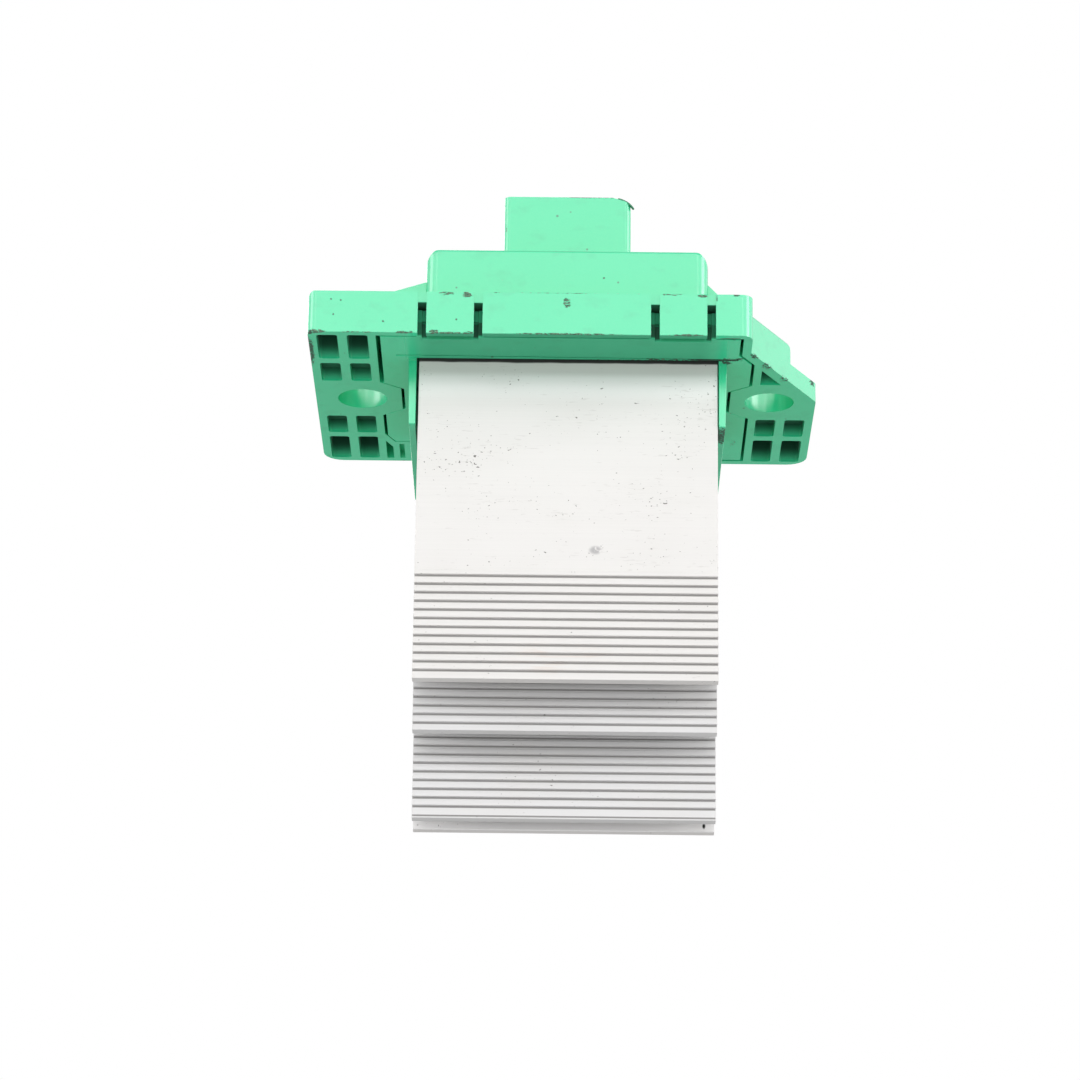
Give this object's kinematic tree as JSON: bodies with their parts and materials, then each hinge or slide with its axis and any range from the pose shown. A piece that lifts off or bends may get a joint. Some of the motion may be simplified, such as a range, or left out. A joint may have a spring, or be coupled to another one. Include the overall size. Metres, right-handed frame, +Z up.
{
  "type": "blower motor resistor",
  "caption": "Heater blower resistor module with a mint plastic housing, plug socket, screw flange and a serrated aluminium heat sink.",
  "frame": {"origin": "midway between the two screw holes, on the seating plane of the flange", "axes": "+Z up out of the duct towards the plug socket, +X towards the screw hole beside the cut corner, +Y away from the front skirt"},
  "size_m": [0.0738, 0.05, 0.0952],
  "materials": {
    "housing_plastic": "satin mint green moulding",
    "carrier_plastic": "satin mint green moulding",
    "extruded_aluminium": "satin mill finish",
    "pad_rubber": "soft matt sheet",
    "tinned_copper": "bright tin plating",
    "black_epoxy": "matt moulding compound",
    "spring_steel": "plain bright steel",
    "board_laminate": "lacquered glass fibre laminate",
    "capacitor_can": "bright drawn can",
    "chip_ceramic": "fired ceramic"
  },
  "bodies": {
    "root": {"housing": "housing_plastic", "heat_sink_carrier": "carrier_plastic", "heat_sink": "extruded_aluminium", "thermal_pad": "pad_rubber", "transistor_tab_left": "tinned_copper", "transistor_tab_right": "tinned_copper", "transistor_mould_left": "black_epoxy", "transistor_mould_right": "black_epoxy", "clamp_spring": "spring_steel", "clamp_screw": "spring_steel", "circuit_board": "board_laminate", "power_blade_left": "tinned_copper", "power_blade_right": "tinned_copper", "signal_pin_left": "tinned_copper", "signal_pin_right": "tinned_copper", "control_chip": "black_epoxy", "buffer_capacitor": "capacitor_can", "shunt_resistor": "black_epoxy", "surge_diode": "black_epoxy", "chip_resistors": "black_epoxy", "chip_capacitors": "chip_ceramic"}
  },
  "joints": []
}
